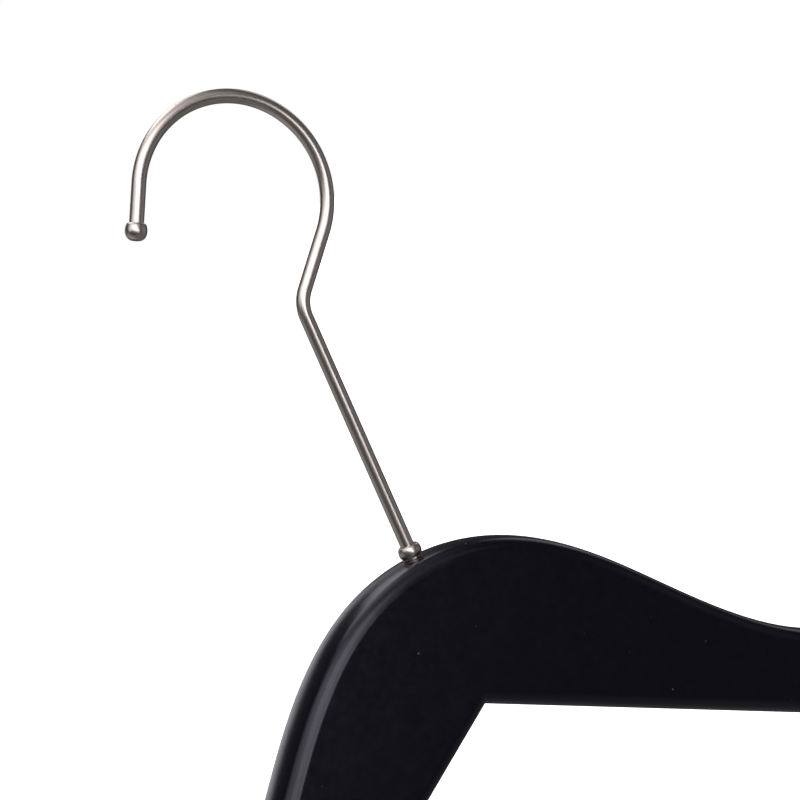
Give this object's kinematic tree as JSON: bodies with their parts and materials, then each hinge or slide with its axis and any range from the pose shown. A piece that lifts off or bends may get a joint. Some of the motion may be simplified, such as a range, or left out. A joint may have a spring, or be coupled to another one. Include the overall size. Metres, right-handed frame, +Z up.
{
  "type": "clothes hanger",
  "caption": "Wooden clothes hanger, black lacquered arms glued at the centre, with a long-necked swivelling wire hook.",
  "frame": {"origin": "the point of the hook that bears on the rail, straight above the shank", "axes": "+Z up along the shank, which is the swivel axis; +X along the right arm, seen from the front; +Y from the front face to the back"},
  "size_m": [0.44, 0.0154, 0.2618],
  "materials": {
    "lacquered_wood": "satin black lacquer",
    "dowel_wood": "bare",
    "bush_brass": "turned",
    "hook_metal": "satin nickel plated"
  },
  "bodies": {
    "hook": {"hook_wire": "hook_metal", "hook_tip": "hook_metal", "hook_collar": "hook_metal", "hook_foot": "hook_metal"},
    "body": {"arm_left": "lacquered_wood", "arm_right": "lacquered_wood", "joint_dowel_upper": "dowel_wood", "joint_dowel_lower": "dowel_wood", "swivel_bush": "bush_brass"}
  },
  "joints": [
    {"name": "hook_swivel", "type": "hinge", "parent": "hook", "child": "body", "pos_m": [0, 0, -0.12], "axis": [0, 0, 1], "continuous": true}
  ]
}
